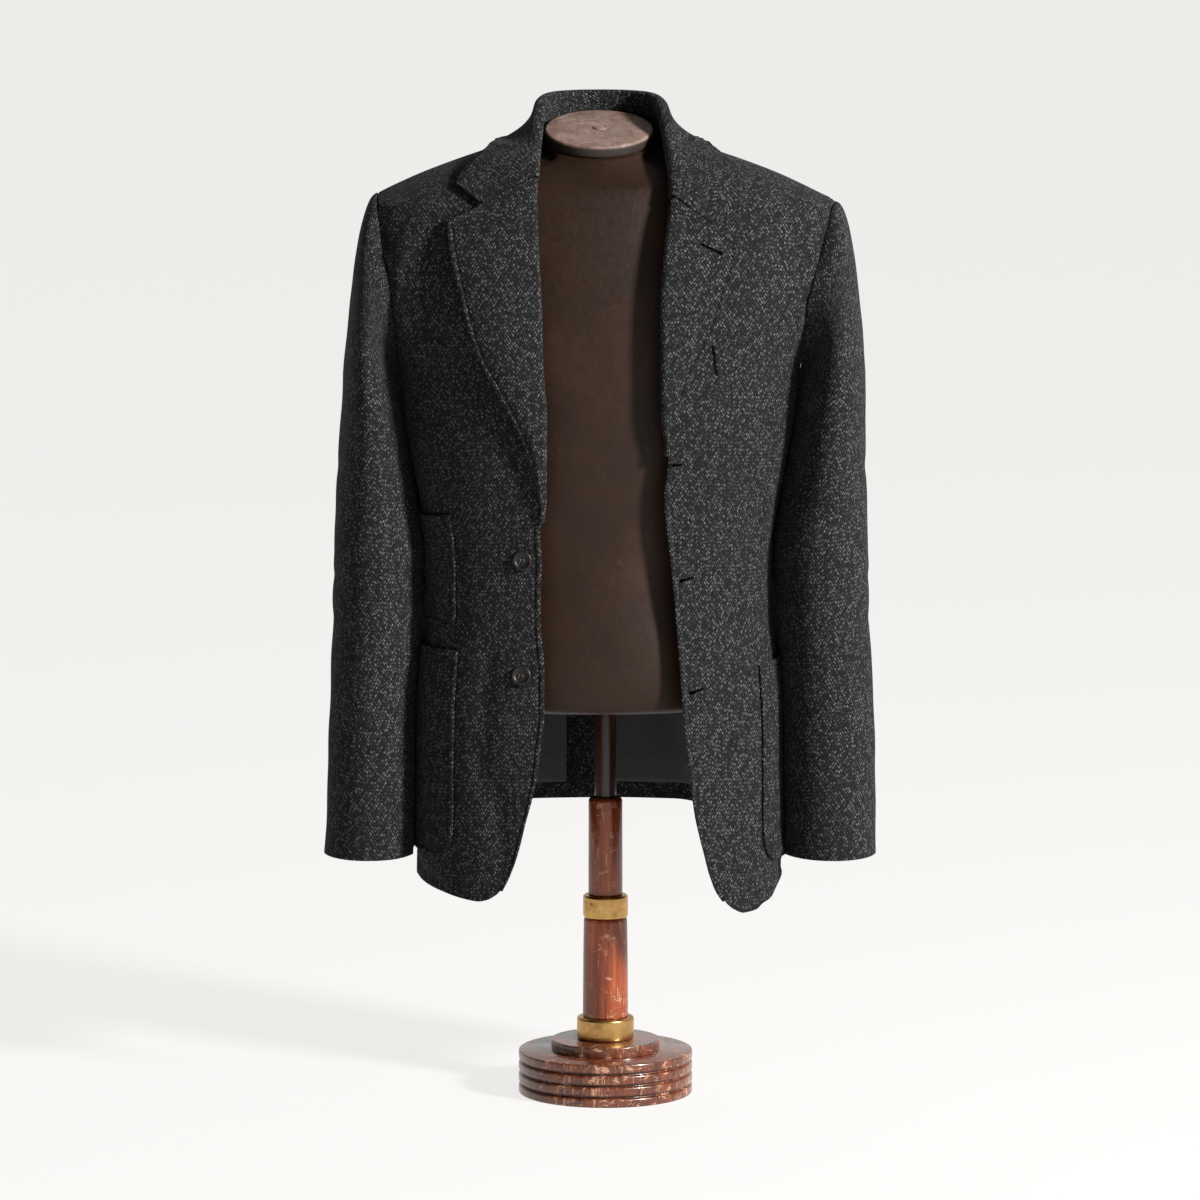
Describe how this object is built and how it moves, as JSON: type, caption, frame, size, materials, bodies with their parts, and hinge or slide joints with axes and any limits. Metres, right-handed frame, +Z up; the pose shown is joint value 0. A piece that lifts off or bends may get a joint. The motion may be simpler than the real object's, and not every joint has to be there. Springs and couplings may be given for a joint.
{
  "type": "sport coat on dress form",
  "caption": "Soft tweed sport coat with notch lapels and patch pockets, worn open on a limbless dress form with a turned wooden stand.",
  "frame": {"origin": "centre of the stand's underside, which rests on the floor", "axes": "+Z up, the coat's front faces -Y, the wearer's right side is at -X"},
  "size_m": [0.5528, 0.2632, 1.0058],
  "materials": {
    "cloth": "soft napped herringbone tweed",
    "lining": "smooth woven lining",
    "horn": "dark horn, soft gloss",
    "form_cover": "plain stretched cover",
    "cap_wood": "worn turned wood",
    "rod_wood": "dark stained wood",
    "stand_wood": "polished mahogany",
    "brass": "aged brass"
  },
  "bodies": {
    "root": {"front_right": "cloth", "front_left": "cloth", "side_right": "cloth", "side_left": "cloth", "back_right": "cloth", "back_left": "cloth", "lapel_right": "cloth", "lapel_left": "cloth", "collar": "cloth", "top_sleeve_right": "cloth", "top_sleeve_left": "cloth", "under_sleeve_right": "cloth", "under_sleeve_left": "cloth", "ticket_pocket": "cloth", "hip_pocket_right": "cloth", "hip_pocket_left": "cloth", "breast_welt": "cloth", "vent_underlap": "cloth", "button_middle": "horn", "button_bottom": "horn", "lining_right": "lining", "lining_left": "lining", "form_torso": "form_cover", "neck_cap": "cap_wood", "cap_plug": "cap_wood", "rod": "rod_wood", "upper_post": "stand_wood", "upper_ring": "brass", "lower_post": "stand_wood", "lower_ring": "brass", "step_disc": "stand_wood", "base_disc": "stand_wood"}
  },
  "joints": []
}
